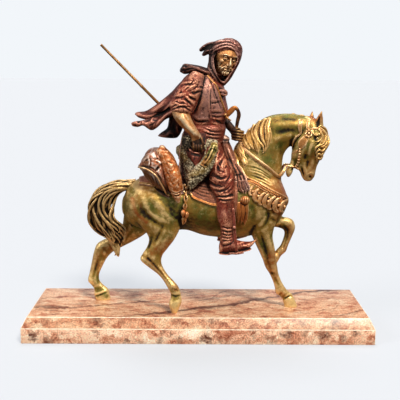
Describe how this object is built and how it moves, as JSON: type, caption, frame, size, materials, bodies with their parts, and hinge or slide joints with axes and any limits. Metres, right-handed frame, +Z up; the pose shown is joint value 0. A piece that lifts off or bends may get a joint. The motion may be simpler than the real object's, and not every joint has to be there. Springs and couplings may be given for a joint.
{
  "type": "equestrian statuette",
  "caption": "Cast bronze rider in head-cloth and flying cloak on a walking, bridled horse with saddlebags and a long gun, standing on a bevelled rose marble plinth.",
  "frame": {"origin": "centre of the underside of the marble plinth", "axes": "+X the way the horse faces, along the plinth, +Y to the rider's left, +Z up"},
  "size_m": [0.6, 0.2, 0.5127],
  "materials": {
    "rose_marble": "polished, peach pink with red-brown and grey veins",
    "horse_bronze": "golden olive patina, rubbed bright on the high places",
    "saddle_bronze": "orange-brown leather patina and grey-green sheepskin patina",
    "rider_bronze": "russet brown patina, dark in the folds",
    "skin_bronze": "pale golden patina on the face and arms",
    "gun_bronze": "pale golden metal, darker underneath"
  },
  "bodies": {
    "root": {"marble_plinth": "rose_marble", "horse": "horse_bronze", "saddle_and_bags": "saddle_bronze", "rider": "rider_bronze", "gun_barrel": "gun_bronze"}
  },
  "joints": []
}
